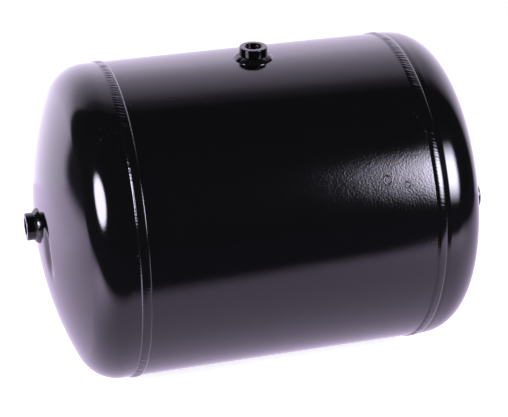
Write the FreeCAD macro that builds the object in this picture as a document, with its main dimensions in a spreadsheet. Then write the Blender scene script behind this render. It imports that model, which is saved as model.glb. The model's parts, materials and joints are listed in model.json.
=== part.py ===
"""Horizontal compressed-air reservoir: a rolled shell, two dished heads and three threaded bosses.

Lengths are in millimetres. The tank's axis runs along X, Y points to the back and Z is up. The
origin is on the floor under the middle of the shell; the tank lies on its two girth beads.
"""
import FreeCAD
import Part
import Sketcher
import os

doc = FreeCAD.newDocument("reservoir")
sizes = doc.addObject("Spreadsheet::Sheet", "Sizes")

# Each independent size, with its meaning.
GIVEN = [
    ("shell_outer_dia", 396, "outside diameter of the rolled shell and of the heads"),
    ("shell_plate", 3, "wall of the shell"),
    ("head_plate", 3, "wall of the heads"),
    ("seam_spacing", 365, "distance between the middles of the two girth seams"),
    ("joint_gap", 6, "top width of the groove between shell and head"),
    ("root_gap", 1, "flat at the bottom of that groove"),
    ("fit_gap", 0.1, "play between the shell and the head's tongue"),
    ("tongue_length", 14, "length of the head's tongue inside the shell"),
    ("flange_length", 16, "straight flange, from the middle of the seam"),
    ("knuckle_radius", 47, "outside radius of the head's knuckle"),
    ("crown_radius", 420, "outside radius of the head's crown"),
    ("girth_width", 12, "width of the girth bead"),
    ("girth_rise", 1.8, "height of the girth bead over the plate"),
    ("bead_start", 1.364, "degrees from the top to the start of a girth bead"),
    ("seam_slot", 1.5, "gap between the rolled edges of the shell"),
    ("seam_width", 7, "width of the bead on the long seam"),
    ("seam_rise", 1, "height of the bead on the long seam"),
    ("seam_angle", 120, "degrees from the top to the long seam, towards the back"),
    ("boss_dia", 34.5, "outside diameter of a boss"),
    ("boss_rise", 14.5, "height of a boss over the plate"),
    ("boss_inside", 2.5, "length of a boss inside the plate"),
    ("boss_edge", 1.2, "round on the outer edge of a boss"),
    ("hole_play", 0.2, "radial play between a boss and its hole in the plate"),
    ("bore_dia", 20.376, "tapping size of the M22 x 1.5 thread"),
    ("mouth_dia", 22.5, "diameter of the lead-in at the mouth"),
    ("fillet_reach", 7.3, "leg of the top boss's weld along the plate"),
    ("head_fillet_reach", 5.5, "leg of a head boss's weld along the plate"),
    ("fillet_height", 5, "leg of a boss weld up the boss"),
    ("fillet_face", 9, "radius of the round face of a boss weld"),
    ("fillet_sink", 5, "depth a boss weld is drawn to before the plate trims it"),
    ("top_boss_along", 1.5, "place of the top boss, right of the middle"),
    ("left_boss_raise", 4.5, "place of the left boss, above the axis"),
    ("right_boss_forward", 48, "place of the right boss, in front of the axis"),
    ("right_boss_drop", 6, "place of the right boss, below the axis"),
]

# Sizes that follow from the ones above.
DERIVED = [
    ("outer_rad", "shell_outer_dia / 2"),
    ("bore_wall", "outer_rad - shell_plate"),
    ("shell_half", "(seam_spacing - joint_gap) / 2"),
    ("seam_half", "seam_spacing / 2"),
    ("axis_height", "outer_rad + girth_rise"),
    ("tongue_rad", "bore_wall - fit_gap"),
    ("slope_start", "shell_half + root_gap"),
    ("slope_end", "shell_half + joint_gap"),
    ("slope_angle", "atan2(outer_rad - tongue_rad; joint_gap - root_gap)"),
    ("corner_shift", "head_plate * tan(slope_angle / 2)"),
    ("flange_end", "seam_half + flange_length"),
    ("knuckle_level", "outer_rad - knuckle_radius"),
    ("centre_gap", "crown_radius - knuckle_radius"),
    ("crown_centre", "flange_end - sqrt(centre_gap ^ 2 - knuckle_level ^ 2)"),
    ("blend", "crown_radius / centre_gap"),
    ("blend_along", "crown_centre + (flange_end - crown_centre) * blend"),
    ("blend_level", "knuckle_level * blend"),
    ("inner_blend", "(crown_radius - head_plate) / centre_gap"),
    ("inner_along", "crown_centre + (flange_end - crown_centre) * inner_blend"),
    ("inner_level", "knuckle_level * inner_blend"),
    ("apex", "crown_centre + crown_radius"),
    ("girth_round", "(girth_width ^ 2 / 4 + girth_rise ^ 2) / (2 * girth_rise)"),
    ("seam_edge", "sqrt(outer_rad ^ 2 - seam_width ^ 2 / 4)"),
    ("seam_cap", "outer_rad + seam_rise - seam_edge"),
    ("seam_round", "(seam_width ^ 2 / 4 + seam_cap ^ 2) / (2 * seam_cap)"),
    ("boss_rad", "boss_dia / 2"),
    ("boss_foot", "shell_plate + boss_inside"),
    ("mouth_depth", "(mouth_dia - bore_dia) / 2"),
    ("hole_rad", "boss_rad + hole_play"),
    ("left_boss_face", "crown_centre + sqrt(crown_radius ^ 2 - left_boss_raise ^ 2)"),
    ("right_boss_off", "sqrt(right_boss_forward ^ 2 + right_boss_drop ^ 2)"),
    ("right_boss_face", "crown_centre + sqrt(crown_radius ^ 2 - right_boss_off ^ 2)"),
]


NAMES = {row[0] for row in GIVEN} | {row[0] for row in DERIVED}


def fill_sheet():
    """Write every size into the sheet, one a row, with its name beside it."""
    row = 0
    for name, number, meaning in GIVEN:
        row += 1
        sizes.set(f"A{row}", meaning)
        sizes.set(f"B{row}", str(number))
        sizes.setAlias(f"B{row}", name)
    for name, formula in DERIVED:
        row += 1
        sizes.set(f"A{row}", name.replace("_", " "))
        sizes.set(f"B{row}", "=" + formula)
        sizes.setAlias(f"B{row}", name)
    doc.recompute()


def named(formula):
    """Return the formula with each size's name pointing into the sheet."""
    words = []
    word = ""
    for letter in formula + " ":
        if letter.isalnum() or letter == "_":
            word += letter
            continue
        if word in NAMES:
            word = "Sizes." + word
        words.append(word + letter)
        word = ""
    return "".join(words).strip()


def number_of(formula):
    """Return the formula's present value, in millimetres or degrees."""
    found = sizes.evalExpression(named(formula))
    return float(getattr(found, "Value", found))


def new_body(label):
    """Start a part of the tank with its own label."""
    body = doc.addObject("PartDesign::Body", label)
    body.Label = label
    return body


def new_sketch(body, name, role):
    """Start a sketch on one of the body's own origin planes."""
    sketch = body.newObject("Sketcher::SketchObject", name)
    plane = next(item for item in body.Origin.OriginFeatures if item.Role == role)
    sketch.AttachmentSupport = (plane, [""])
    sketch.MapMode = "FlatFace"
    doc.recompute()
    return sketch


def fix(sketch, kind, geometry, point, formula):
    """Hold one point's distance from the sketch's origin at the formula's value."""
    index = sketch.addConstraint(
        Sketcher.Constraint(kind, -1, 1, geometry, point, number_of(formula))
    )
    sketch.setExpression(f"Constraints[{index}]", named(formula))


def arc_between(start, end, radius, turn):
    """Return the shorter arc from start to end, turning left (1) or right (-1)."""
    chord = end - start
    middle = (start + end) * 0.5
    across = FreeCAD.Vector(-chord.y, chord.x, 0)
    across.normalize()
    rise = (radius ** 2 - chord.Length ** 2 / 4) ** 0.5
    centre = middle + across * (rise * turn)
    away = middle - centre
    away.normalize()
    top = centre + away * radius
    return Part.Arc(start, top, end)


def draw_outline(sketch, corners):
    """Draw a closed outline; each corner is (x, y) or (x, y, radius, turn) for an arc to the next."""
    spots = [FreeCAD.Vector(number_of(c[0]), number_of(c[1]), 0) for c in corners]
    for index, corner in enumerate(corners):
        start = spots[index]
        end = spots[(index + 1) % len(spots)]
        if len(corner) == 2:
            sketch.addGeometry(Part.LineSegment(start, end), False)
        else:
            sketch.addGeometry(arc_between(start, end, number_of(corner[2]), corner[3]), False)
    ends = []
    for index, corner in enumerate(corners):
        if len(corner) == 2 or corner[3] > 0:
            ends.append((1, 2))
        else:
            ends.append((2, 1))
    for index, corner in enumerate(corners):
        after = (index + 1) % len(corners)
        sketch.addConstraint(
            Sketcher.Constraint("Coincident", index, ends[index][1], after, ends[after][0])
        )
    for index, corner in enumerate(corners):
        fix(sketch, "DistanceX", index, ends[index][0], corner[0])
        fix(sketch, "DistanceY", index, ends[index][0], corner[1])
        if len(corner) > 2:
            held = sketch.addConstraint(
                Sketcher.Constraint("Radius", index, number_of(corner[2]))
            )
            sketch.setExpression(f"Constraints[{held}]", named(corner[2]))
    doc.recompute()


def draw_circle(sketch, across, up, radius):
    """Draw a circle about (across, up)."""
    spot = FreeCAD.Vector(number_of(across), number_of(up), 0)
    sketch.addGeometry(Part.Circle(spot, FreeCAD.Vector(0, 0, 1), number_of(radius)), False)
    fix(sketch, "DistanceX", 0, 3, across)
    fix(sketch, "DistanceY", 0, 3, up)
    held = sketch.addConstraint(Sketcher.Constraint("Radius", 0, number_of(radius)))
    sketch.setExpression(f"Constraints[{held}]", named(radius))
    doc.recompute()


def turn_profile(body, corners, axis):
    """Add a full turn of a closed outline in the body's XZ plane about the sketch's axis."""
    sketch = new_sketch(body, body.Label + "_outline", "XZ_Plane")
    draw_outline(sketch, corners)
    turn = body.newObject("PartDesign::Revolution", body.Label + "_turn")
    turn.Profile = sketch
    turn.ReferenceAxis = (sketch, [axis])
    turn.Angle = 360
    sketch.Visibility = False
    doc.recompute()


def cut_through(body, sketch, name):
    """Cut the sketch through everything on its normal's side, and make sure it took metal away."""
    before = body.Shape.Volume
    pocket = body.newObject("PartDesign::Pocket", name)
    pocket.Profile = sketch
    pocket.Type = "ThroughAll"
    pocket.Reversed = True
    sketch.Visibility = False
    doc.recompute()
    if body.Shape.Volume >= before:
        raise RuntimeError(name + " cuts nothing")


def place(item, along=None, back=None, up="axis_height"):
    """Set where the item stands in the tank's frame, from formulas."""
    for letter, formula in (("x", along), ("y", back), ("z", up)):
        if formula:
            item.setExpression("Placement.Base." + letter, named(formula))


def make_shell(label):
    """Roll the shell: a ring with a slot for its long seam and a hole for the top boss."""
    body = new_body(label)
    corners = [
        ("-shell_half", "bore_wall"),
        ("shell_half", "bore_wall"),
        ("shell_half", "outer_rad"),
        ("-shell_half", "outer_rad"),
    ]
    turn_profile(body, corners, "H_Axis")
    slot = new_sketch(body, "long_slot", "XY_Plane")
    tilt = FreeCAD.Rotation(FreeCAD.Vector(1, 0, 0), -number_of("seam_angle"))
    slot.AttachmentOffset = FreeCAD.Placement(FreeCAD.Vector(0, 0, 0), tilt)
    corners = [
        ("-shell_half", "-seam_slot / 2"),
        ("shell_half", "-seam_slot / 2"),
        ("shell_half", "seam_slot / 2"),
        ("-shell_half", "seam_slot / 2"),
    ]
    draw_outline(slot, corners)
    cut_through(body, slot, "long_slot_cut")
    hole = new_sketch(body, "top_hole", "XY_Plane")
    draw_circle(hole, "top_boss_along", "0", "hole_rad")
    cut_through(body, hole, "top_hole_cut")
    place(body)
    return body


def make_long_seam(label):
    """Fill the long slot and cap it with a low bead that ends at the girth beads."""
    body = new_body(label)
    parts = [
        (
            "fill",
            "2 * shell_half",
            [
                ("-seam_slot / 2", "bore_wall"),
                ("seam_slot / 2", "bore_wall"),
                ("seam_slot / 2", "outer_rad"),
                ("-seam_slot / 2", "outer_rad"),
            ],
        ),
        (
            "cap",
            "seam_spacing - girth_width",
            [
                ("seam_width / 2", "seam_edge", "seam_round", 1),
                ("-seam_width / 2", "seam_edge", "outer_rad", -1),
            ],
        ),
    ]
    for name, length, corners in parts:
        sketch = new_sketch(body, "seam_" + name, "YZ_Plane")
        draw_outline(sketch, corners)
        pad = body.newObject("PartDesign::Pad", "seam_" + name + "_pad")
        pad.Profile = sketch
        pad.Midplane = True
        pad.setExpression("Length", named(length))
        sketch.Visibility = False
        doc.recompute()
    tilt = FreeCAD.Rotation(FreeCAD.Vector(1, 0, 0), -number_of("seam_angle"))
    body.Placement = FreeCAD.Placement(FreeCAD.Vector(0, 0, 0), tilt)
    place(body)
    return body


def make_head(label, back, up, turned):
    """Press a dished head with a joggled tongue and a hole for its boss."""
    body = new_body(label)
    corners = [
        ("shell_half - tongue_length", "tongue_rad"),
        ("slope_start", "tongue_rad"),
        ("slope_end", "outer_rad"),
        ("flange_end", "outer_rad", "knuckle_radius", -1),
        ("blend_along", "blend_level", "crown_radius", -1),
        ("apex", "0"),
        ("apex - head_plate", "0", "crown_radius - head_plate", 1),
        ("inner_along", "inner_level", "knuckle_radius - head_plate", 1),
        ("flange_end", "outer_rad - head_plate"),
        ("slope_end + corner_shift", "outer_rad - head_plate"),
        ("slope_start + corner_shift", "tongue_rad - head_plate"),
        ("shell_half - tongue_length", "tongue_rad - head_plate"),
    ]
    turn_profile(body, corners, "H_Axis")
    hole = new_sketch(body, label + "_hole", "YZ_Plane")
    draw_circle(hole, back, up, "hole_rad")
    cut_through(body, hole, label + "_hole_cut")
    body.Placement.Rotation = FreeCAD.Rotation(FreeCAD.Vector(0, 0, 1), turned)
    place(body)
    return body


def make_girth_weld(label, turned):
    """Fill the groove between shell and head and cap it with a wide bead."""
    body = new_body(label)
    corners = [
        ("seam_half - girth_width / 2", "outer_rad"),
        ("shell_half", "outer_rad"),
        ("shell_half", "tongue_rad"),
        ("slope_start", "tongue_rad"),
        ("slope_end", "outer_rad"),
        ("seam_half + girth_width / 2", "outer_rad", "girth_round", 1),
    ]
    turn_profile(body, corners, "H_Axis")
    start = FreeCAD.Rotation(FreeCAD.Vector(1, 0, 0), number_of("bead_start"))
    body.Placement.Rotation = FreeCAD.Rotation(FreeCAD.Vector(0, 0, 1), turned) * start
    place(body)
    return body


def make_boss(label, spot, lean):
    """Turn a threaded boss: a short tube with a rounded edge and a lead-in at its mouth."""
    body = new_body(label)
    corners = [
        ("bore_dia / 2", "-boss_foot"),
        ("boss_rad", "-boss_foot"),
        ("boss_rad", "boss_rise - boss_edge", "boss_edge", 1),
        ("boss_rad - boss_edge", "boss_rise"),
        ("mouth_dia / 2", "boss_rise"),
        ("bore_dia / 2", "boss_rise - mouth_depth"),
    ]
    turn_profile(body, corners, "V_Axis")
    body.Placement.Rotation = lean
    place(body, *spot)
    return body


def make_boss_weld(label, reach, spot, lean, normal, plate):
    """Lay a fillet weld round a boss: a turned ring, trimmed by the boss and by the plate."""
    ring = new_body(label + "_ring")
    toe = "boss_rad + " + reach
    corners = [
        ("bore_dia / 2", "-fillet_sink"),
        (toe + " + fillet_sink", "-fillet_sink"),
        (toe, "0", "fillet_face", 1),
        ("boss_rad", "fillet_height"),
        ("bore_dia / 2", "fillet_height"),
    ]
    turn_profile(ring, corners, "V_Axis")
    ring.Placement.Rotation = normal
    place(ring, *spot)
    core = new_body(label + "_core")
    corners = [
        ("0", "-fillet_sink"),
        ("boss_rad", "-fillet_sink"),
        ("boss_rad", "2 * fillet_sink"),
        ("0", "2 * fillet_sink"),
    ]
    turn_profile(core, corners, "V_Axis")
    core.Placement.Rotation = lean
    place(core, *spot)
    hollow = doc.addObject("Part::Cut", label + "_hollow")
    hollow.Base = ring
    hollow.Tool = core
    weld = doc.addObject("Part::Cut", label)
    weld.Label = label
    weld.Base = hollow
    weld.Tool = plate
    doc.recompute()
    return weld


def shell_form():
    """Return a solid cylinder the size of the shell's outside."""
    form = doc.addObject("Part::Cylinder", "shell_form")
    form.setExpression("Radius", named("outer_rad"))
    form.setExpression("Height", named("2 * shell_half"))
    form.Placement.Rotation = FreeCAD.Rotation(FreeCAD.Vector(0, 1, 0), 90)
    place(form, "-shell_half")
    return form


def crown_form(name, along):
    """Return a solid ball whose surface is a head's crown."""
    form = doc.addObject("Part::Sphere", name)
    form.setExpression("Radius", named("crown_radius"))
    place(form, along)
    return form


def check_all():
    """Stop when any object is in error or any part's shape is missing or broken."""
    for item in doc.Objects:
        if "Invalid" in item.State or "Error" in item.State:
            raise RuntimeError(f"{item.Label}: {item.State}")
    for node in nodes:
        if node.Shape.isNull() or not node.Shape.isValid() or node.Shape.Volume <= 0:
            raise RuntimeError(node.Label + " has no sound shape")


fill_sheet()

upright = FreeCAD.Rotation(FreeCAD.Vector(0, 1, 0), 0)
leftward = FreeCAD.Rotation(FreeCAD.Vector(0, 1, 0), -90)
rightward = FreeCAD.Rotation(FreeCAD.Vector(0, 1, 0), 90)
crown_way = FreeCAD.Vector(
    number_of("right_boss_face") - number_of("crown_centre"),
    -number_of("right_boss_forward"),
    -number_of("right_boss_drop"),
)
square_to_crown = FreeCAD.Rotation(FreeCAD.Vector(0, 0, 1), crown_way)

top_spot = ("top_boss_along", None, "axis_height + outer_rad")
left_spot = ("-left_boss_face", None, "axis_height + left_boss_raise")
right_spot = ("right_boss_face", "-right_boss_forward", "axis_height - right_boss_drop")

nodes = [
    make_shell("shell"),
    make_long_seam("shell_seam_weld"),
    make_head("left_head", "0", "left_boss_raise", 180),
    make_head("right_head", "-right_boss_forward", "-right_boss_drop", 0),
    make_girth_weld("left_girth_weld", 180),
    make_girth_weld("right_girth_weld", 0),
    make_boss("top_boss", top_spot, upright),
    make_boss("left_boss", left_spot, leftward),
    make_boss("right_boss", right_spot, rightward),
    make_boss_weld("top_boss_weld", "fillet_reach", top_spot, upright, upright, shell_form()),
    make_boss_weld(
        "left_boss_weld",
        "head_fillet_reach",
        left_spot,
        leftward,
        leftward,
        crown_form("left_crown_form", "-crown_centre"),
    ),
    make_boss_weld(
        "right_boss_weld",
        "head_fillet_reach",
        right_spot,
        rightward,
        square_to_crown,
        crown_form("right_crown_form", "crown_centre"),
    ),
]
doc.recompute()
check_all()
os.makedirs("parts", exist_ok=True)
for node in nodes:
    node.Shape.exportStep(f"parts/{node.Label}.step")
    print(node.Label, round(node.Shape.Volume), node.Shape.BoundBox)
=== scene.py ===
"""Looks of a gloss black compressed-air reservoir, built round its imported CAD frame."""
import json
import math

import bmesh
import bpy
import numpy as np
from mathutils import Matrix, Vector


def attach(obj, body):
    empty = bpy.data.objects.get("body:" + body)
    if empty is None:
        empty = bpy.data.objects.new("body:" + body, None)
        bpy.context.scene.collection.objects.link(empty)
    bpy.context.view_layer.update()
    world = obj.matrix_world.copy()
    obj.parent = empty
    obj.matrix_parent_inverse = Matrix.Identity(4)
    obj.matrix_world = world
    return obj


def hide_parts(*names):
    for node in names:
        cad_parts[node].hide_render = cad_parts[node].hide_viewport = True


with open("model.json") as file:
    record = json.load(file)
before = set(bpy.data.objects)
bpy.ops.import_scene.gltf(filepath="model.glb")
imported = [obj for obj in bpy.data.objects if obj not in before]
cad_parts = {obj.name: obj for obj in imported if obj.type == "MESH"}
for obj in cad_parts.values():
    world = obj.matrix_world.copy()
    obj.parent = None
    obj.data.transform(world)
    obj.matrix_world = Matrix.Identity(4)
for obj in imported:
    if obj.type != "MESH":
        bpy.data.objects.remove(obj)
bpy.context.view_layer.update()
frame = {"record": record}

# ---------------------------------------------------------------- sizes, in metres
AXIS_HEIGHT = 0.1998
SHELL_RADIUS = 0.198
PLATE = 0.003
SHELL_HALF = 0.1795  # half the length of the shell's plate
SEAM_HALF = 0.1825  # from the tank's middle to the middle line of a girth weld
JOINT_GAP = 0.006  # from the shell's end to the rim of the head's skin
ROOT_GAP = 0.001  # from the shell's end to the foot of the joggle's slope
TONGUE_RADIUS = 0.1949  # outside of the head's tongue, which lies inside the shell
TONGUE_END = 0.1655
FLANGE_END = 0.1985  # where the head's straight flange bends into its knuckle
KNUCKLE_RADIUS = 0.047
CROWN_RADIUS = 0.420
BOSS_RADIUS = 0.01725
BOSS_RISE = 0.0145
BOSS_FOOT = 0.0055
BOSS_EDGE = 0.0012  # radius of the rounded edge round a boss's mouth
MOUTH_RADIUS = 0.01125
THREAD_RADIUS = 0.0109
THREAD_PITCH = 0.0015
HOLE_RADIUS = 0.01745
SUNK = 0.00003  # how deep the edge of a weld or a drop lies in the plate, so that no gap shows

PORTS = {mount["name"]: mount for mount in frame["record"]["mounts"]}
BORE_RADIUS = PORTS["top_port"]["dims"]["r_mm"] / 1000
TOP_BOSS_X = PORTS["top_port"]["pos_m"][0]
LEFT_BOSS_Z = PORTS["left_port"]["pos_m"][2] - AXIS_HEIGHT
RIGHT_BOSS_Y = PORTS["right_port"]["pos_m"][1]
RIGHT_BOSS_Z = PORTS["right_port"]["pos_m"][2] - AXIS_HEIGHT

GIRTH_WIDTH = 0.0126
GIRTH_HEIGHT = 0.00176  # a girth bead's crown over the plate
GIRTH_LIMIT = 0.00179  # the most that any ripple may stand over the plate
GIRTH_RIPPLES = 296
FINE_RIPPLES = 690
SEAM_ANGLE = math.radians(120)  # place of the long seam, from the top towards the back
SEAM_WIDTH = 0.007
SEAM_SLOT = 0.0015  # width of the slot that the long seam fills
SEAM_ROOT = 0.1951  # how far from the axis that slot's floor lies

TAU = 2 * math.pi
KNUCKLE_LEVEL = SHELL_RADIUS - KNUCKLE_RADIUS  # how far the knuckle's centre lies off the axis
CENTRE_GAP = CROWN_RADIUS - KNUCKLE_RADIUS  # between the crown's centre and the knuckle's
CROWN_CENTRE = FLANGE_END - math.sqrt(CENTRE_GAP ** 2 - KNUCKLE_LEVEL ** 2)
BLEND_LEVEL = KNUCKLE_LEVEL * CROWN_RADIUS / CENTRE_GAP  # radius where the crown meets the knuckle
BLEND_TILT = math.asin(BLEND_LEVEL / CROWN_RADIUS)


# ---------------------------------------------------------------- meshes
def grid_faces(rows, columns, closed=False):
    """Corner numbers of a grid's four-sided faces; closed joins its last column to its first."""
    row = np.arange(rows - 1)[:, None]
    column = np.arange(columns if closed else columns - 1)[None, :]
    after = (column + 1) % columns
    here, above = row * columns, (row + 1) * columns
    return np.stack([here + column, here + after, above + after, above + column], -1).reshape(-1, 4)


def add_piece(name, grids, material, stands_for=(), wall=None, sharp=None, marks=None):
    """Join grids of points into one mesh, merge their shared edges and turn the faces outwards.

    grids is a list of (points, faces). wall is the plate's thickness, grown inwards from the skin.
    sharp is the least angle, in degrees, at which two faces meet in a crisp edge. marks is a name
    and one value for each point, which the material can read.
    """
    points = np.concatenate([np.reshape(p, (-1, 3)) for p, _ in grids])
    starts = np.cumsum([0] + [np.reshape(p, (-1, 3)).shape[0] for p, _ in grids[:-1]])
    faces = np.concatenate([f + start for (_, f), start in zip(grids, starts)])
    mesh = bpy.data.meshes.new(name)
    mesh.from_pydata(points, [], faces.tolist())
    if marks:
        mesh.attributes.new(marks[0], "FLOAT", "POINT").data.foreach_set(
            "value", np.ravel(marks[1]).astype(np.float32))
    work = bmesh.new()
    work.from_mesh(mesh)
    bmesh.ops.remove_doubles(work, verts=work.verts, dist=2e-6)
    bmesh.ops.dissolve_degenerate(work, edges=work.edges, dist=1e-7)
    bmesh.ops.recalc_face_normals(work, faces=work.faces)
    work.to_mesh(mesh)
    work.free()
    mesh.polygons.foreach_set("use_smooth", np.ones(len(mesh.polygons), bool))
    if sharp:
        mesh.set_sharp_from_angle(angle=math.radians(sharp))
    piece = bpy.data.objects.new(name, mesh)
    bpy.context.scene.collection.objects.link(piece)
    mesh.materials.append(material)
    if wall:
        skin = piece.modifiers.new("wall", "SOLIDIFY")
        skin.thickness = wall
        skin.offset = -1
        skin.use_even_offset = True
    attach(piece, "root")
    if stands_for:
        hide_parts(*stands_for)


def round_tank(x, radius, angle):
    """Points at x along the tank and a radius from its axis; the angle runs from the top forwards."""
    x, radius, angle = np.broadcast_arrays(x, radius, angle)
    return np.stack([x, -radius * np.sin(angle), AXIS_HEIGHT + radius * np.cos(angle)], -1)


def waves(angle, seed, terms=9, lowest=2):
    """Slow, repeating unevenness round a full turn, between about -1 and 1: a sum of sines."""
    draw = np.random.default_rng(seed)
    counts = lowest + np.arange(terms)
    phase = draw.uniform(0, TAU, terms)
    size = draw.uniform(0.4, 1, terms) / np.sqrt(terms)
    return sum(s * np.sin(n * angle + p) for n, p, s in zip(counts, phase, size))


def ripples(angle, number, seed):
    """Weld ripples round a full turn: 0 in the valleys, and between 0.2 and 1 on the crests.

    Each ripple is half a wave of a sine, so crests are round and valleys sharp. Its length and its
    height are drawn at random.
    """
    draw = np.random.default_rng(seed)
    length = draw.uniform(0.7, 1.3, number)
    edges = np.concatenate([[0], np.cumsum(length) / length.sum()]) * TAU
    size = draw.uniform(0.2, 1.0, number)
    angle = np.mod(angle, TAU)
    index = np.clip(np.searchsorted(edges, angle, side="right") - 1, 0, number - 1)
    part = (angle - edges[index]) / (edges[index + 1] - edges[index])
    return size[index] * np.sin(math.pi * part)


def falling(off, start, slope, bend):
    """A straight fall from start down to 0, which begins in a soft bend.

    It is slope * bend * log(1 + e^((start - off) / bend)): nothing well above start, and
    slope * (start - off) well below it.
    """
    return slope * bend * np.logaddexp(0, (start - off) / bend)


def joint_pull(x):
    """How far the plate lies inside its true circle beside a girth weld.

    The shell is drawn in a little, as a bell. The left head's rim falls to the weld in a slope of
    0.035. The right head's rim widens in a slope of 0.065 to a soft crease 11 mm past the seam, and
    falls from there to the weld in a slope of 0.085.
    """
    off = np.abs(x) - SEAM_HALF
    shell = 0.00015 * np.exp(-(off / 0.012) ** 2)
    left = falling(off, 0.0115, 0.035, 0.0015)
    right = falling(off, 0.0110, 0.15, 0.0004) - falling(off, 0.0185, 0.065, 0.0010)
    return np.where(off < 0, shell, np.where(x < 0, left, right))


def shell_pull(x, angle):
    """How far the shell's skin lies inside a true cylinder: the welds' draw and a slight roll."""
    roll = 0.00006 * np.sin(2 * angle + 0.7) + 0.00004 * np.sin(3 * angle + 9 * x)
    return joint_pull(x) + roll


def shell_skin():
    """The shell's outside: a grid along and round, with a round hole for the top boss.

    A rectangular window of the grid at the top is left out. A fan of points fills it, each line
    going straight from the hole's circle to the window's edge, measured on the unrolled sheet.
    """
    along = np.linspace(-SHELL_HALF, SHELL_HALF, 97)
    turn = np.linspace(-math.pi, math.pi, 361)
    left, right = 41, 56  # the window's first and last column
    low, high = 172, 188  # and its first and last row
    x, angle = np.meshgrid(along, turn)
    points = round_tank(x, SHELL_RADIUS - shell_pull(x, angle), angle)
    faces = grid_faces(len(turn), len(along))
    row, column = np.divmod(faces[:, 0], len(along))
    inside = (row >= low) & (row < high) & (column >= left) & (column < right)
    window = np.concatenate([
        np.stack([along[left:right], np.full(right - left, turn[low])], -1),
        np.stack([np.full(high - low, along[right]), turn[low:high]], -1),
        np.stack([along[right:left:-1], np.full(right - left, turn[high])], -1),
        np.stack([np.full(high - low, along[left]), turn[high:low:-1]], -1),
    ])
    across = window[:, 0] - TOP_BOSS_X
    sheet = window[:, 1] * SHELL_RADIUS
    heading = np.arctan2(sheet, across)
    step = np.linspace(0, 1, 9)[:, None]
    fan_x = TOP_BOSS_X + (1 - step) * HOLE_RADIUS * np.cos(heading) + step * across
    fan_angle = ((1 - step) * HOLE_RADIUS * np.sin(heading) + step * sheet) / SHELL_RADIUS
    fan = round_tank(fan_x, SHELL_RADIUS - shell_pull(fan_x, fan_angle), fan_angle)
    return [(points, faces[~inside]), (fan, grid_faces(len(step), len(heading), closed=True))]


def head_skin(side, hole_y, hole_z, dents=()):
    """A dished head's outside, from the rim of its boss's hole to the end of its tongue.

    Across the crown, each line goes straight (seen from the end) from the hole's circle to the
    circle where the crown meets the knuckle. Its place along the tank is on the crown's sphere. The
    knuckle is an arc turned about the axis, then come the flange, the joggle and the tongue.
    dents lists hollows, each a bell across and a flatter bell up and down: its place y and z, how
    far its line leans along y for each step up, its reach along y and z, and its depth.
    """
    flange_steps = 24
    turn = np.linspace(0, TAU, 360, endpoint=False)[None, :]
    step = np.linspace(0, 1, 57)[:, None]
    y = (1 - step) * (hole_y - HOLE_RADIUS * np.sin(turn)) - step * BLEND_LEVEL * np.sin(turn)
    z = (1 - step) * (hole_z + HOLE_RADIUS * np.cos(turn)) + step * BLEND_LEVEL * np.cos(turn)
    x = CROWN_CENTRE + np.sqrt(CROWN_RADIUS ** 2 - y ** 2 - z ** 2)
    for dent_y, dent_z, lean, reach_y, reach_z, depth in dents:
        off_y, off_z = y - dent_y - lean * (z - dent_z), z - dent_z
        x = x - depth * np.exp(-(off_y / reach_y) ** 2 - (off_z / reach_z) ** 4)
    tilt = np.linspace(BLEND_TILT, math.pi / 2, 41)[1:]
    knuckle_x = FLANGE_END + KNUCKLE_RADIUS * np.cos(tilt)
    knuckle_r = KNUCKLE_LEVEL + KNUCKLE_RADIUS * np.sin(tilt)
    slope_end, slope_start = SHELL_HALF + JOINT_GAP, SHELL_HALF + ROOT_GAP
    flange_x = np.linspace(FLANGE_END, slope_end, flange_steps + 1)[1:]
    foot_x = np.concatenate([flange_x, [slope_start, TONGUE_END]])
    foot_r = np.concatenate([np.full(flange_steps, SHELL_RADIUS), [TONGUE_RADIUS, TONGUE_RADIUS]])
    rim_x = np.concatenate([knuckle_x, foot_x])[:, None]
    rim_r = np.concatenate([knuckle_r, foot_r])[:, None] - joint_pull(side * rim_x)
    x = np.concatenate([x, np.broadcast_to(rim_x, (len(rim_x), turn.shape[1]))])
    y = np.concatenate([y, -rim_r * np.sin(turn)])
    z = np.concatenate([z, rim_r * np.cos(turn)])
    points = np.stack([side * x, y, AXIS_HEIGHT + z], -1)
    return [(points, grid_faces(len(x), turn.shape[1], closed=True))]


def bead_edges(angle, top, seed):
    """A girth bead's middle line, and how far its inner and outer toe lie from it.

    All three wander slowly, and each ripple swells both toes a little. At the top the line lies
    nearer to the tank's middle and the inner toe further out.
    """
    line_wander, toe_wander, ripple_swell = 0.00015, 0.00014, 0.00018
    swell = ripple_swell * (ripples(angle, GIRTH_RIPPLES, seed + 4) - 0.4)
    middle = SEAM_HALF - 0.0011 * top + line_wander * waves(angle, seed + 1, 14, 3)
    inner = GIRTH_WIDTH / 2 + toe_wander * waves(angle, seed, 30, 6) + swell + 0.0007 * top
    outer = GIRTH_WIDTH / 2 + toe_wander * waves(angle, seed + 6, 30, 6) + swell
    return middle, inner, outer


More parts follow.
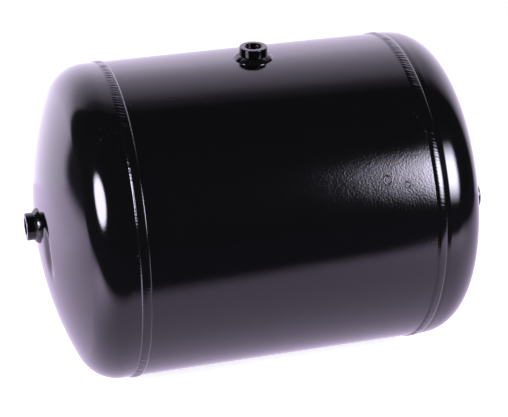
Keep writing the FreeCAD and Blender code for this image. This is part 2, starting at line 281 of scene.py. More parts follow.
def bead_ripples(angle, s, side, top, seed):
    """How far the ripples lower a girth bead's crown.

    They cross the crown and trail most a little right of its middle, where they also begin to die
    away. They are lively at the top and low in front, and faint between. Finer ones ride on them.
    """
    depth, fine_depth, longest_trail = 0.00028, 0.00006, 0.0052
    across = s * side
    lag = 1 - (np.abs(across - 0.45) / 1.45) ** 1.4
    trail = longest_trail / SHELL_RADIUS * lag * (1 + 0.3 * waves(angle, seed + 7, 40, 12))
    foot = np.exp(8 * (np.cos(angle - 2.25) - 1))
    lively = 0.10 + 0.2 * waves(angle, seed + 3, 16, 4) + 1.9 * top ** 2 + 1.5 * foot
    calm = 1 / (1 + np.exp((across - 0.35) / 0.12))
    lively = np.clip(lively, 0.04, 2.2) * (0.25 + 0.75 * calm)
    coarse = lively * ripples(angle - trail, GIRTH_RIPPLES, seed + 4)
    fine = (0.4 + 1.4 * top ** 2) * ripples(angle - 1.2 * trail, FINE_RIPPLES, seed + 5)
    return depth * (lively - coarse) + fine_depth * (1 - fine)


def soft_ramp(ramp, low_bend, high_bend):
    """A ramp held between 0 and 1, with a soft bend of its own size at each end."""
    ramp = low_bend * np.logaddexp(0, ramp / low_bend)
    return -high_bend * np.logaddexp(-1 / high_bend, -ramp / high_bend)


def paint_gather(angle, s, side):
    """Where the paint lies thick: along the right toe all round, and less along the left toe.

    It starts 0.74 of the way out and is full at 0.84. On the left bead the left toe has it in front.
    """
    edge = np.clip((np.abs(s) - 0.74) / 0.10, 0, 1)
    in_front = np.exp(6 * (np.cos(angle - 1.5) - 1)) if side < 0 else 0
    left_toe = 0.2 + 0.8 * in_front
    return edge * edge * (3 - 2 * edge) * np.where(s * side > 0, 1, left_toe)


def girth_bead(side, flanks, peak, seed):
    """A girth weld: a low round crown with uneven ripples, between two straight flanks.

    s runs from the inner toe (-1) to the outer toe (1). The crown is an arc that falls by
    crown_fall in the first 0.7 from its peak, which is given as an s. A flank falls to the plate at
    |s| = 0.97, rounded at both ends. flanks is how much of the half-width the inner and the outer
    flank take, and what the outer one gains at the top. top is 1 at the top of the tank and fades
    away from it. Under the skin the weld fills the joggle's groove, just short of its walls.
    """
    count = 2900
    crown_fall, crown_wander = 0.00037, 0.00004
    angle = np.linspace(0, TAU, count, endpoint=False)[None, :]
    top = np.exp(3 * (np.cos(angle - 0.15) - 1))
    half = np.concatenate([[0, 0.12, 0.24, 0.36, 0.48, 0.58], np.linspace(0.65, 1, 9)])
    s = np.concatenate([-half[:0:-1], half])[:, None]
    middle, inner, outer = bead_edges(angle, top, seed)
    x = side * (middle + s * np.where(s < 0, inner, outer))
    flank = np.where(s < 0, flanks[0], flanks[1] + flanks[2] * top ** 2)
    ramp = soft_ramp((0.97 - np.abs(s)) / flank, 0.05, 0.07)
    crown = GIRTH_HEIGHT - crown_fall * ((s - peak) / 0.7) ** 2
    crown = crown + crown_wander * waves(angle, seed + 2, 20, 5)
    crown = crown - bead_ripples(angle, s, side, top, seed)
    height = ramp * crown - (1 - ramp) * joint_pull(x) - SUNK
    skin = round_tank(x, SHELL_RADIUS + np.minimum(height, GIRTH_LIMIT), angle)
    groove_x = np.array([SHELL_HALF + JOINT_GAP, SHELL_HALF + ROOT_GAP, SHELL_HALF, SHELL_HALF])
    groove_r = np.array([SHELL_RADIUS, TONGUE_RADIUS, TONGUE_RADIUS, SHELL_RADIUS])
    groove_r = groove_r - np.array([0.0006, 0.0004, 0.0004, 0.0003])
    groove = round_tank(side * groove_x[:, None], groove_r[:, None], angle)
    points = np.concatenate([skin, groove, skin[:1]])
    gather = np.zeros((len(points), count))
    gather[:len(s)] = paint_gather(angle, s, side)
    return [(points, grid_faces(len(points), count, closed=True))], gather


def boss_shape():
    """Outline of a boss, as radius and height: up its outside, over its edge and down its bore."""
    arc = np.linspace(0, math.pi / 2, 9)
    edge_r = BOSS_RADIUS - BOSS_EDGE * (1 - np.cos(arc))
    edge_z = BOSS_RISE - BOSS_EDGE * (1 - np.sin(arc))
    up = np.linspace(-BOSS_FOOT, BOSS_RISE - BOSS_EDGE, 12)[:-1]
    outside = np.stack([np.full(len(up), BOSS_RADIUS), up], -1)
    edge = np.stack([edge_r, edge_z], -1)
    face = np.stack([np.linspace(edge_r[-1], MOUTH_RADIUS, 5)[1:], np.full(4, BOSS_RISE)], -1)
    top = BOSS_RISE - (MOUTH_RADIUS - BORE_RADIUS)
    bore_z = np.linspace(top, -BOSS_FOOT, 120)
    bore = np.stack([np.full(len(bore_z), BORE_RADIUS), bore_z], -1)
    return np.concatenate([outside, edge, face, bore, outside[:1]])


def cut_thread(radius, height, angle):
    """Radii with the thread cut: the bore's wall moves out in a V that climbs one pitch a turn.

    The V is flat at its crest and its root, and runs out over the last millimetre of the bore.
    """
    turns = height / THREAD_PITCH - angle / TAU
    vee = np.abs(2 * (turns - np.floor(turns)) - 1)
    vee = np.clip(1.25 * vee - 0.12, 0, 1)
    wall = np.abs(radius - BORE_RADIUS) < 1e-6
    fade = np.clip((height + BOSS_FOOT) / 0.001, 0, 1)
    return np.where(wall, radius + (THREAD_RADIUS - BORE_RADIUS) * vee * fade, radius)


def boss(spot, facing):
    """A threaded boss: its outline turned about its own axis, which goes through spot."""
    count = 144
    outline = boss_shape()
    angle = np.linspace(0, TAU, count, endpoint=False)[None, :]
    height = np.broadcast_to(outline[:, 1:], (len(outline), count))
    radius = cut_thread(np.broadcast_to(outline[:, :1], height.shape), height, angle)
    local = np.stack([radius * np.cos(angle), radius * np.sin(angle), height], -1)
    points = local @ np.array(facing).T + np.array(spot)
    return [(points, grid_faces(len(points), count, closed=True))]


def fillet_weld(reach, height, spot, facing, level, seed):
    """A fillet weld round a boss: a round face from the boss down to the plate, with ripples.

    s runs from the boss (0) to the toe (1). The face's height is height * (1 - s^1.5)^0.8, over the
    plate's own level at that place. Ripples run from the boss to the toe, a little swept, and are
    highest halfway. The underside follows the plate, a little way inside it.
    """
    count = 720
    ripple_height = 0.00036
    angle = np.linspace(0, TAU, count, endpoint=False)[None, :]
    s = np.sin(np.linspace(0, 1, 19) * math.pi / 2)[:, None]
    out = reach * (1 + 0.05 * waves(angle, seed, 12, 3))
    rise = height * (1 + 0.06 * waves(angle, seed + 1, 12, 2))
    radius = BOSS_RADIUS + s * out
    face = np.clip(1 - s ** 1.5, 0, 1) ** 0.8
    beat = ripples(angle + 0.10 * s ** 2, 42, seed + 2)
    local_z = rise * face + ripple_height * beat * np.sin(math.pi * np.clip(s, 0, 1)) ** 0.5
    x, y = radius * np.cos(angle), radius * np.sin(angle)
    top = np.stack([x, y, level(x, y) + local_z - SUNK], -1)
    under_x, under_y = x[::-6], y[::-6]
    under = np.stack([under_x, under_y, level(under_x, under_y) - 0.0004], -1)
    points = np.concatenate([top, under, top[:1]])
    points = points @ np.array(facing).T + np.array(spot)
    return [(points, grid_faces(len(points), count, closed=True))]


def shell_level(x, y):
    """The shell's surface below its top line, at x along the tank and y across it."""
    return np.sqrt(SHELL_RADIUS ** 2 - y ** 2) - SHELL_RADIUS


def crown_level(off_x, off_y):
    """The crown's surface beside a boss that stands off its middle by (off_x, off_y)."""
    here = math.sqrt(CROWN_RADIUS ** 2 - off_x ** 2 - off_y ** 2)
    return lambda x, y: np.sqrt(CROWN_RADIUS ** 2 - (x + off_x) ** 2 - (y + off_y) ** 2) - here


def long_seam_bead(seed):
    """The long seam: a fill in its slot and a narrow rippled cap that dies into the girth beads.

    s runs across the cap from -1 to 1. The cap's height is (1 - |s|^3)^0.7 times its crown, and its
    even ripples bow a little towards one end. Both ends are closed by a fan.
    """
    crown_height, ripple_height = 0.00085, 0.00012
    ripple_length, bow = 0.0019, 0.0009
    along = np.linspace(-SHELL_HALF, SHELL_HALF, 1200)[None, :]
    s = np.sin(np.linspace(-1, 1, 17) * math.pi / 2)[:, None]
    half = SEAM_WIDTH / 2 * (1 + 0.05 * waves(along * 12, seed, 20, 3))
    beat = 0.5 + 0.5 * np.sin(TAU * (along + bow * (1 - s ** 2)) / ripple_length)
    crown = np.clip(1 - np.abs(s) ** 3, 0, 1) ** 0.7
    height = crown * (crown_height + ripple_height * beat)
    angle = -SEAM_ANGLE + s * half / SHELL_RADIUS
    cap = round_tank(along, SHELL_RADIUS - SUNK + height, angle)
    slot_side = SEAM_SLOT / 2 * np.array([[1], [1], [-1], [-1]])
    slot_radius = np.array([[SHELL_RADIUS], [SEAM_ROOT], [SEAM_ROOT], [SHELL_RADIUS]]) - SUNK
    fill = round_tank(along, slot_radius, -SEAM_ANGLE + slot_side / SHELL_RADIUS)
    points = np.concatenate([cap, fill, cap[:1]])
    grids = [(points, grid_faces(len(points), along.shape[1]))]
    for end in (0, -1):
        ring = points[:-1, end]
        middle = ring.mean(0, keepdims=True)
        fan = np.stack([ring, np.broadcast_to(middle, ring.shape)])
        grids.append((fan, grid_faces(2, len(ring), closed=True)))
    return grids


def domes(x, angle, wide, high):
    """Low domes on the tank's skin, each a flattened half-ball with a closed foot.

    x and angle say where each stands, wide is its radius and high its height. Past the shell's ends
    they follow the flange and the knuckle. A dome is a grid of rings from its top to its foot.
    """
    number, rings, around = len(x), 7, 14
    wide, high = wide[:, None, None], high[:, None, None]
    past = np.clip((np.abs(x) - FLANGE_END) / KNUCKLE_RADIUS, 0, 0.999)
    lean = np.arcsin(past)
    radius = KNUCKLE_LEVEL + KNUCKLE_RADIUS * np.cos(lean) - joint_pull(x)
    spot = round_tank(x, radius, angle)
    out = np.stack([np.sign(x) * np.sin(lean), -np.sin(angle) * np.cos(lean),
                    np.cos(angle) * np.cos(lean)], -1)
    side = np.stack([np.zeros(number), -np.cos(angle), -np.sin(angle)], -1)
    ahead = np.cross(out, side)
    rise = np.linspace(math.pi / 2, 0, rings - 1)[:, None]
    turn = np.linspace(0, TAU, around, endpoint=False)[None, :]
    ring_r = np.concatenate([np.cos(rise), np.zeros((1, 1))])
    ring_h = np.concatenate([np.sin(rise), np.full((1, 1), -0.3)])
    u, v = wide * ring_r * np.cos(turn), wide * ring_r * np.sin(turn)
    h = high * ring_h * np.ones_like(turn) - SUNK
    points = (spot[:, None, None] + u[..., None] * side[:, None, None]
              + v[..., None] * ahead[:, None, None] + h[..., None] * out[:, None, None])
    faces = grid_faces(rings, around, closed=True)
    faces = (faces[None] + rings * around * np.arange(number)[:, None, None]).reshape(-1, 4)
    return [(points, faces)]


def spatter(places, seed):
    """Drops of spatter under the paint, scattered round each place with a bell-shaped spread.

    places is a list of (x along the tank, angle from the top forwards, reach, how many).
    """
    draw = np.random.default_rng(seed)
    number = sum(place[3] for place in places)
    centre = np.repeat(np.array([place[:3] for place in places], float), [p[3] for p in places], 0)
    x = centre[:, 0] + centre[:, 2] * draw.normal(0, 1, number)
    angle = centre[:, 1] + centre[:, 2] / SHELL_RADIUS * draw.normal(0, 1, number)
    wide = draw.uniform(0.0004, 0.0008, number)
    return domes(x, angle, wide, draw.uniform(0.35, 0.55, number) * wide)


def ring_marks(places):
    """Plain raised rings under the paint: a half-round bead bent into a circle on the shell.

    places is a list of (x along the tank, angle from the top forwards, ring's radius). The bead's
    foot lies just inside the skin.
    """
    half_width, height = 0.0013, 0.0007
    turn = np.linspace(0, TAU, 64, endpoint=False)[None, :]
    section = np.linspace(0, TAU, 13)[:, None]
    faces = grid_faces(section.size, turn.size, closed=True)
    grids = []
    for x, angle, radius in places:
        out = radius + half_width * np.cos(section)
        points = round_tank(
            x + out * np.cos(turn),
            SHELL_RADIUS + height * np.maximum(np.sin(section), -0.3),
            angle + out * np.sin(turn) / SHELL_RADIUS,
        )
        grids.append((points, faces))
    return grids


# ---------------------------------------------------------------- materials
def new_material(name):
    """An empty node material with its Principled shader linked up."""
    material = bpy.data.materials.new(name)
    material.use_nodes = True
    tree = material.node_tree
    return material, tree, tree.nodes["Principled BSDF"]


def node(tree, kind, inputs=None, **settings):
    """Add a node, set its own settings, and set or link its inputs."""
    made = tree.nodes.new(kind)
    for key, value in settings.items():
        setattr(made, key, value)
    for key, value in (inputs or {}).items():
        if isinstance(value, bpy.types.NodeSocket):
            tree.links.new(value, made.inputs[key])
        else:
            made.inputs[key].default_value = value
    return made


def new_group(name, inputs, outputs):
    """A shader node group with float inputs and outputs."""
    group = bpy.data.node_groups.new(name, "ShaderNodeTree")
    for label, value in inputs:
        socket = group.interface.new_socket(label, in_out="INPUT", socket_type="NodeSocketFloat")
        socket.default_value = value
    for label in outputs:
        group.interface.new_socket(label, in_out="OUTPUT", socket_type="NodeSocketFloat")
    return group, node(group, "NodeGroupInput"), node(group, "NodeGroupOutput")


def orange_peel_group():
    """Sprayed enamel's skin: fine dimples over a slower swell, and cloudy changes in its gloss."""
    group, given, result = new_group(
        "orange_peel", [("Grain", 500.0), ("Swell", 45.0)], ["Height", "Cloud"]
    )
    place = node(group, "ShaderNodeTexCoord").outputs["Object"]
    fine = node(group, "ShaderNodeTexNoise", {
        "Vector": place, "Scale": given.outputs["Grain"], "Detail": 2.0, "Roughness": 0.5})
    slow = node(group, "ShaderNodeTexNoise", {
        "Vector": place, "Scale": given.outputs["Swell"], "Detail": 1.0, "Roughness": 0.4})
    cloud = node(group, "ShaderNodeTexNoise", {
        "Vector": place, "Scale": 9.0, "Detail": 4.0, "Roughness": 0.6})
    more = node(group, "ShaderNodeMath", {0: slow.outputs["Fac"], 1: 0.8}, operation="MULTIPLY")
    both = node(group, "ShaderNodeMath", {
        0: fine.outputs["Fac"], 1: more.outputs[0]}, operation="ADD")
    group.links.new(both.outputs[0], result.inputs["Height"])
    group.links.new(cloud.outputs["Fac"], result.inputs["Cloud"])
    return group


def handling_group():
    """Handling marks: sparse pale specks and faint wiped streaks, as two masks."""
    group, given, result = new_group("handling", [("Specks", 0.5)], ["Speck", "Smear"])
    place = node(group, "ShaderNodeTexCoord").outputs["Object"]
    cells = node(group, "ShaderNodeTexVoronoi", {"Vector": place, "Scale": 240.0})
    near = node(group, "ShaderNodeMapRange", {
        "Value": cells.outputs["Distance"],
        "From Min": 0.10, "From Max": 0.04, "To Min": 0.0, "To Max": 1.0})
    chance = node(group, "ShaderNodeSeparateColor", {"Color": cells.outputs["Color"]})
    few = node(group, "ShaderNodeMath", {0: chance.outputs[0], 1: 0.93}, operation="GREATER_THAN")
    spot = node(group, "ShaderNodeMath", {
        0: near.outputs[0], 1: few.outputs[0]}, operation="MULTIPLY")
    speck = node(group, "ShaderNodeMath", {
        0: spot.outputs[0], 1: given.outputs["Specks"]}, operation="MULTIPLY")
    stretch = node(group, "ShaderNodeMapping", {"Vector": place, "Scale": (3.0, 30.0, 14.0)})
    wipe = node(group, "ShaderNodeTexNoise", {
        "Vector": stretch.outputs[0], "Scale": 1.0, "Detail": 5.0, "Roughness": 0.65})
    smear = node(group, "ShaderNodeMapRange", {
        "Value": wipe.outputs["Fac"], "From Min": 0.52, "From Max": 0.75})
    group.links.new(speck.outputs[0], result.inputs["Speck"])
    group.links.new(smear.outputs[0], result.inputs["Smear"])
    return group


PEEL = orange_peel_group()
HANDLING = handling_group()
BLACK = (0.0013, 0.0014, 0.0016, 1)
DUST = (0.030, 0.029, 0.032, 1)


def paint_material(name, gloss, grain, depth, specks, mirror=0.5):
    """Gloss black enamel. gloss is its base roughness; grain and depth shape its orange peel.

    specks is how strongly dust shows, and mirror how strongly the skin reflects (0.5 is usual).
    """
    material, tree, shader = new_material(name)
    peel = node(tree, "ShaderNodeGroup", node_tree=PEEL)
    peel.inputs["Grain"].default_value = grain
    marks = node(tree, "ShaderNodeGroup", node_tree=HANDLING)
    marks.inputs["Specks"].default_value = specks
    colour = node(tree, "ShaderNodeMix", {
        0: marks.outputs["Speck"], 6: BLACK, 7: DUST}, data_type="RGBA")
    cloudy = node(tree, "ShaderNodeMapRange", {
        "Value": peel.outputs["Cloud"], "From Min": 0.3, "From Max": 0.7,
        "To Min": gloss - 0.015, "To Max": gloss + 0.02})
    smeared = node(tree, "ShaderNodeMath", {
        0: marks.outputs["Smear"], 1: 0.03, 2: cloudy.outputs[0]}, operation="MULTIPLY_ADD")
    dusty = node(tree, "ShaderNodeMath", {
        0: marks.outputs["Speck"], 1: 0.3, 2: smeared.outputs[0]}, operation="MULTIPLY_ADD")
    bump = node(tree, "ShaderNodeBump", {
        "Height": peel.outputs["Height"], "Strength": 1.0, "Distance": depth})
    tree.links.new(colour.outputs[2], shader.inputs["Base Color"])
    tree.links.new(dusty.outputs[0], shader.inputs["Roughness"])
    tree.links.new(bump.outputs[0], shader.inputs["Normal"])
    shader.inputs["IOR"].default_value = 1.5
    shader.inputs["Specular IOR Level"].default_value = mirror
    return material


def weld_material(name):
    """The enamel over the welds: it lies thick along their toes, where a mark says so."""
    material = paint_material(name, 0.08, 900.0, 0.000012, 0.8)
    tree = material.node_tree
    shader = tree.nodes["Principled BSDF"]
    gather = node(tree, "ShaderNodeAttribute", attribute_name="gather")
    tree.links.new(gather.outputs["Fac"], shader.inputs["Coat Weight"])
    shader.inputs["Coat Roughness"].default_value = 0.08
    return material


# ---------------------------------------------------------------- the tank
shell_paint = paint_material("shell_enamel", 0.085, 430.0, 0.00010, 0.6)
head_paint = paint_material("head_enamel", 0.08, 500.0, 0.00002, 0.6)
weld_paint = weld_material("weld_enamel")
boss_paint = paint_material("boss_enamel", 0.09, 700.0, 0.000004, 0.2, 0.33)

LEFT_DENT = (-0.052, -0.004, 0.2, 0.0088, 0.027, 0.0042)
SPATTER = [
    (-0.203, math.radians(35.5), 0.0075, 9),
    (-0.197, math.radians(33.0), 0.004, 5),
    (-0.172, math.radians(20.0), 0.006, 3),
    (0.171, math.radians(40.0), 0.005, 3),
    (-0.194, math.radians(80.0), 0.012, 6),
    (0.150, math.radians(-60.0), 0.02, 6),
]
RINGS = [(0.118, math.radians(61.3), 0.0052), (0.1425, math.radians(63.6), 0.0035)]
GIRTHS = [
    ("left", -1, (0.14, 0.16, 0.45), 0.0, 3),
    ("right", 1, (0.45, 0.13, 0.0), -0.22, 11),
]

add_piece("shell_plate", shell_skin(), shell_paint, ["shell"], wall=PLATE)
for where, side, hole_y, hole_z, dents in (
    ("left", -1, 0, LEFT_BOSS_Z, [LEFT_DENT]), ("right", 1, RIGHT_BOSS_Y, RIGHT_BOSS_Z, [])
):
    add_piece(
        where + "_dish", head_skin(side, hole_y, hole_z, dents), head_paint,
        [where + "_head"], wall=PLATE,
    )
for where, side, flanks, peak, seed in GIRTHS:
    bead, gather = girth_bead(side, flanks, peak, seed)
    add_piece(
        where + "_girth_bead", bead, weld_paint,
        [where + "_girth_weld"], marks=("gather", gather),
    )
add_piece("long_seam_bead", long_seam_bead(5), weld_paint, ["shell_seam_weld"])
add_piece("spatter_drops", spatter(SPATTER, 8), weld_paint)
add_piece("ring_marks", ring_marks(RINGS), shell_paint)

UP = Matrix.Identity(3)
LEFTWARD = Matrix.Rotation(math.radians(-90), 3, "Y")
RIGHTWARD = Matrix.Rotation(math.radians(90), 3, "Y")


def crown_face(off_y, off_z):
    """How far along the tank a crown lies, at a place off its middle."""
    return CROWN_CENTRE + math.sqrt(CROWN_RADIUS ** 2 - off_y ** 2 - off_z ** 2)


top_spot = (TOP_BOSS_X, 0, AXIS_HEIGHT + SHELL_RADIUS)
left_spot = (-crown_face(0, LEFT_BOSS_Z), 0, AXIS_HEIGHT + LEFT_BOSS_Z)
right_spot = (
    crown_face(RIGHT_BOSS_Y, RIGHT_BOSS_Z), RIGHT_BOSS_Y, AXIS_HEIGHT + RIGHT_BOSS_Z
)
SPOTS = {
    "top": (top_spot, UP, 0.0073, shell_level),
    "left": (left_spot, LEFTWARD, 0.0055, crown_level(LEFT_BOSS_Z, 0)),
    "right": (right_spot, RIGHTWARD, 0.0055, crown_level(-RIGHT_BOSS_Z, RIGHT_BOSS_Y)),
}
for number, (where, (spot, facing, reach, level)) in enumerate(SPOTS.items()):
    add_piece(
        where + "_threaded_boss", boss(spot, facing), boss_paint,
        [where + "_boss"], sharp=40,
    )
    add_piece(
        where + "_boss_fillet",
        fillet_weld(reach, 0.005, spot, facing, level, 30 + 4 * number),
        weld_paint,
        [where + "_boss_weld"],
    )


# ---------------------------------------------------------------- studio
VIEW_YAW = math.radians(15.91)
VIEW_PITCH = math.radians(26.66)
CAMERA_PLACE = (-0.51965, -1.83149, 1.14568)
CAMERA_LENS = 117.38
LIGHT_TINT = (1.03, 0.985, 1.23)
AHEAD = Vector((math.sin(VIEW_YAW), math.cos(VIEW_YAW), 0))
ASIDE = Vector((math.cos(VIEW_YAW), -math.sin(VIEW_YAW), 0))


def add_camera():
    """The camera, 2.1 m off, looking down on the tank from the front left."""
    data = bpy.data.cameras.new("camera")
    data.lens = CAMERA_LENS
    data.sensor_width = 36
    camera = bpy.data.objects.new("camera", data)
    bpy.context.scene.collection.objects.link(camera)
    gaze = Vector((
        math.sin(VIEW_YAW) * math.cos(VIEW_PITCH),
        math.cos(VIEW_YAW) * math.cos(VIEW_PITCH),
        -math.sin(VIEW_PITCH),
    ))
    turn = gaze.to_track_quat("-Z", "Y").to_matrix().to_4x4()
    camera.matrix_world = Matrix.Translation(CAMERA_PLACE) @ turn
    bpy.context.scene.camera = camera


def edge_fade(tree, value, start, full):
    """A smooth rise from 0 at start to 1 at full, which may be the smaller of the two."""
    return node(tree, "ShaderNodeMapRange", {
        "Value": value, "From Min": start, "From Max": full},
        interpolation_type="SMOOTHSTEP").outputs[0]


def math_node(tree, operation, *values):
    """One arithmetic step on values or sockets."""
    return node(tree, "ShaderNodeMath", dict(enumerate(values)), operation=operation).outputs[0]


def panel_glow(tree, across, up, power, full):
    """Brightness of a soft panel: 0 at its rim, rising to 1 at the given part of the way out.

    The rim is the curve |a|^power + |b|^power = 1, with a and b from -1 to 1 over the panel.
    """
    wide = math_node(tree, "ABSOLUTE", math_node(tree, "MULTIPLY_ADD", across, 2.0, -1.0))
    tall = math_node(tree, "ABSOLUTE", math_node(tree, "MULTIPLY_ADD", up, 2.0, -1.0))
    out = math_node(tree, "ADD",
                    math_node(tree, "POWER", wide, power), math_node(tree, "POWER", tall, power))
    return edge_fade(tree, math_node(tree, "POWER", out, 1 / power), 1.0, full)


def add_softbox(name, azimuth, elevation, distance, size, lean, radiance, power, full):
    """A flat light aimed at the tank's middle. Azimuth 0 is the front, the right is positive.

    lean turns the panel in its own plane. power and full shape its soft rim, as in panel_glow.
    """
    data = bpy.data.lights.new(name, "AREA")
    data.shape = "RECTANGLE"
    data.size, data.size_y = size
    data.energy = radiance * math.pi * size[0] * size[1]
    data.color = LIGHT_TINT
    data.use_nodes = True
    tree = data.node_tree
    parts = node(tree, "ShaderNodeSeparateXYZ", {
        0: node(tree, "ShaderNodeNewGeometry").outputs["Parametric"]})
    soft = panel_glow(tree, parts.outputs[0], parts.outputs[1], power, full)
    tree.links.new(soft, tree.nodes["Emission"].inputs["Strength"])
    light = bpy.data.objects.new(name, data)
    bpy.context.scene.collection.objects.link(light)
    a, e = math.radians(azimuth), math.radians(elevation)
    way = Vector((math.sin(a) * math.cos(e), -math.cos(a) * math.cos(e), math.sin(e)))
    turn = (-way).to_track_quat("-Z", "Y").to_matrix().to_4x4()
    turn = turn @ Matrix.Rotation(math.radians(lean), 4, "Z")
    light.matrix_world = Matrix.Translation(Vector((0, 0, AXIS_HEIGHT)) + way * distance) @ turn
    light.visible_camera = False


def stage_place(tree):
    """Where a point of the stage lies: ahead of the tank, to its right, and its height."""
    place = node(tree, "ShaderNodeNewGeometry").outputs["Position"]
    ahead = node(tree, "ShaderNodeVectorMath", {0: place, 1: AHEAD}, operation="DOT_PRODUCT")
    aside = node(tree, "ShaderNodeVectorMath", {0: place, 1: ASIDE}, operation="DOT_PRODUCT")
    height = node(tree, "ShaderNodeSeparateXYZ", {0: place})
    return ahead.outputs["Value"], aside.outputs["Value"], height.outputs[2]


def round_patch(tree, across, up, middle_across, middle_up, half_width, half_height):
    """A soft round patch on a stage piece: 1 in its middle, 0 at its edge and beyond."""
    side = math_node(tree, "DIVIDE", math_node(tree, "SUBTRACT", across, middle_across), half_width)
    rise = math_node(tree, "DIVIDE", math_node(tree, "SUBTRACT", up, middle_up), half_height)
    out = math_node(tree, "SQRT", math_node(
        tree, "MULTIPLY_ADD", side, side, math_node(tree, "MULTIPLY", rise, rise)))
    return edge_fade(tree, out, 1.0, 0.0)


def only_reflected(thing):
    """Keep a stage piece out of the picture and out of the light; only the paint mirrors it."""
    thing.visible_camera = False
    thing.visible_diffuse = False
    thing.visible_transmission = False
    thing.visible_shadow = False
    thing.visible_volume_scatter = False


def floor_painted_light(tree):
    """How bright each place of the floor looks in the paint: painted light and shade, given as an
    emission that only the paint's reflections see.

    The lit strip is about two metres wide. It fades in front and at both sides, is dimmest in the
    middle as a painted shade of the tank, brighter at the back left, and has a bright painted pool of
    light in front at each side.
    """
    ahead, aside, _ = stage_place(tree)
    further = math_node(tree, "MULTIPLY_ADD", edge_fade(tree, aside, 0.45, 0.75), 0.13, ahead)
    front = edge_fade(tree, further, -0.66, -0.45)
    slanted = math_node(tree, "MULTIPLY_ADD", ahead, 0.45, aside)
    left_side = edge_fade(tree, slanted, -1.42, -0.92)
    right_side = edge_fade(tree, aside, 1.52, 0.80)
    sides = math_node(tree, "MULTIPLY", left_side, right_side)
    # painted shade: the floor is darker across the tank's middle
    off_middle = edge_fade(tree, math_node(tree, "ABSOLUTE", aside), 0.20, 0.60)
    far_left = edge_fade(tree, aside, -0.45, -0.75)
    back_left = math_node(tree, "MULTIPLY", far_left, edge_fade(tree, ahead, -0.1, 0.1))
    glow = math_node(tree, "MULTIPLY_ADD", off_middle, 0.35, 0.95)
    glow = math_node(tree, "MULTIPLY_ADD", back_left, 0.5, glow)
    # painted pools of light, where the softboxes would light the floor in front
    for pool_aside, pool_ahead, strength in ((-0.60, -0.44, 1.45), (0.78, -0.48, 0.7)):
        painted_light_pool = round_patch(tree, aside, ahead, pool_aside, pool_ahead, 0.42, 0.36)
        glow = math_node(tree, "MULTIPLY_ADD", painted_light_pool, strength, glow)
    glow = math_node(tree, "MULTIPLY", glow, math_node(tree, "MULTIPLY", front, sides))
    return math_node(tree, "ADD", glow, 0.06)


def add_floor():
    """A plain pale floor: near white to the camera, and floor_painted_light's strip of painted light
    and shade in the paint's reflections.
    """
    size = 14
    mesh = bpy.data.meshes.new("floor")
    corners = [(-size, -size, 0), (size, -size, 0), (size, size, 0), (-size, size, 0)]
    mesh.from_pydata(corners, [], [(0, 1, 2, 3)])
    floor = bpy.data.objects.new("floor", mesh)
    bpy.context.scene.collection.objects.link(floor)
    material, tree, shader = new_material("pale_floor")
    shader.inputs["Base Color"].default_value = (0.85, 0.85, 0.86, 1)
    shader.inputs["Roughness"].default_value = 0.9
    shader.inputs["Specular IOR Level"].default_value = 0.0
    # painted reflection: the floor's light and shade as an emission, seen by glossy rays only
    painted_reflection = node(tree, "ShaderNodeEmission", {
        "Color": (1.10, 0.92, 1.30, 1), "Strength": floor_painted_light(tree)})
    white = node(tree, "ShaderNodeEmission", {"Color": (1, 1, 1, 1), "Strength": 0.75})
    bright = node(tree, "ShaderNodeAddShader", {0: white.outputs[0], 1: shader.outputs[0]})
    path = node(tree, "ShaderNodeLightPath")
    seen = node(tree, "ShaderNodeMixShader", {
        0: path.outputs["Is Camera Ray"], 1: shader.outputs[0], 2: bright.outputs[0]})
    mix = node(tree, "ShaderNodeMixShader", {
        0: path.outputs["Is Glossy Ray"], 1: seen.outputs[0], 2: painted_reflection.outputs[0]})
    tree.links.new(mix.outputs[0], tree.nodes["Material Output"].inputs["Surface"])
    mesh.materials.append(material)


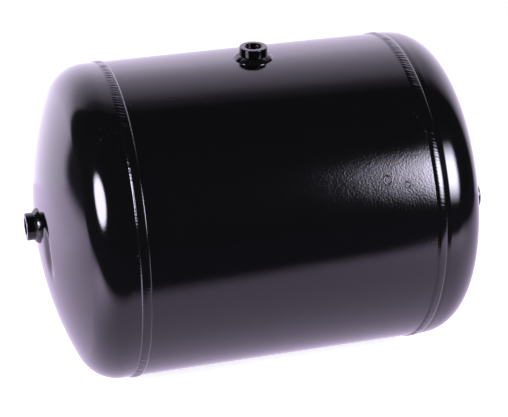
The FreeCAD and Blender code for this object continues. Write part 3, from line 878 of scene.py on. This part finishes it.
def backdrop_painted_light(tree):
    """How bright each place of the backdrop looks in the paint: painted light, as the sheet glows.

    It is bright low down, with a soft painted shadow of the tank in its middle, and dark from about
    two metres up. It fades at both sides, and a painted patch of light brightens its left.
    """
    _, aside, height = stage_place(tree)
    fall = node(tree, "ShaderNodeValToRGB", {0: math_node(tree, "DIVIDE", height, 2.2)})
    steps = [(0.0, 0.90), (0.20, 1.0), (0.30, 1.0), (0.38, 0.82), (0.45, 0.66), (0.52, 0.55),
             (0.65, 0.37), (0.73, 0.24), (0.82, 0.11), (0.95, 0.05)]
    ramp = fall.color_ramp
    while len(ramp.elements) < len(steps):
        ramp.elements.new(0.5)
    for element, (spot, value) in zip(ramp.elements, steps):
        element.position = spot
        element.color = (value, value, value, 1)
    left_side = edge_fade(tree, aside, -1.60, -1.28)
    right_side = edge_fade(tree, aside, 1.70, 0.80)
    sides = math_node(tree, "MULTIPLY", left_side, right_side)
    # painted shadow of the tank, soft, in the backdrop's middle
    painted_shadow = round_patch(tree, aside, height, 0.02, 0.15, 0.80, 0.55)
    glow = math_node(tree, "MULTIPLY_ADD", painted_shadow, -0.55, 1.0)
    # painted light: a brighter patch on the backdrop's left
    left = round_patch(tree, aside, height, -1.0, 0.45, 0.45, 0.45)
    glow = math_node(tree, "MULTIPLY_ADD", left, 0.15, glow)
    glow = math_node(tree, "MULTIPLY", glow, fall.outputs["Color"])
    glow = math_node(tree, "MULTIPLY", glow, sides)
    return math_node(tree, "MULTIPLY_ADD", glow, 2.06, 0.05)


def add_backdrop():
    """The back of the sweep, seen only in the paint: a sheet that bends up from the floor and glows
    with painted light.
    """
    start, bend_radius, width_left, width_right, height = 0.47, 0.15, -1.7, 1.5, 2.4
    bend = np.linspace(0, math.pi / 2, 17)
    ahead = np.concatenate([start + bend_radius * np.sin(bend), [start + bend_radius]])
    up = np.concatenate([0.001 + bend_radius - bend_radius * np.cos(bend), [height]])
    aside = np.array([width_left, width_right])
    points = (
        ahead[:, None, None] * np.array(AHEAD)
        + aside[None, :, None] * np.array(ASIDE)
        + up[:, None, None] * np.array([0, 0, 1.0])
    )
    mesh = bpy.data.meshes.new("backdrop")
    mesh.from_pydata(points.reshape(-1, 3), [], grid_faces(len(ahead), 2).tolist())
    backdrop = bpy.data.objects.new("backdrop", mesh)
    bpy.context.scene.collection.objects.link(backdrop)
    material, tree, shader = new_material("backdrop_glow")
    tree.nodes.remove(shader)
    shine = node(tree, "ShaderNodeEmission", {
        "Color": (1.05, 0.93, 1.22, 1), "Strength": backdrop_painted_light(tree)})
    tree.links.new(shine.outputs[0], tree.nodes["Material Output"].inputs["Surface"])
    mesh.materials.append(material)
    only_reflected(backdrop)


def add_surroundings():
    """White all round for the camera, and a dark studio for the paint to mirror."""
    world = bpy.data.worlds.new("studio")
    world.use_nodes = True
    bpy.context.scene.world = world
    tree = world.node_tree
    seen = node(tree, "ShaderNodeLightPath")
    strength = node(tree, "ShaderNodeMix", {
        0: seen.outputs["Is Camera Ray"], 2: 0.05, 3: 1.05}, data_type="FLOAT")
    tree.nodes["Background"].inputs["Color"].default_value = (1, 1, 1.04, 1)
    tree.links.new(strength.outputs[0], tree.nodes["Background"].inputs["Strength"])


add_camera()
add_softbox("left_softbox", -65.3, 23.0, 1.8, (1.00, 1.00), 0.0, 23, 2.0, 0.64)
add_softbox("right_softbox", 36.0, 25.2, 1.76, (0.88, 1.28), -10.0, 27, 2.5, 0.17)
add_floor()
add_backdrop()
add_surroundings()
bpy.context.scene.view_settings.view_transform = "Standard"
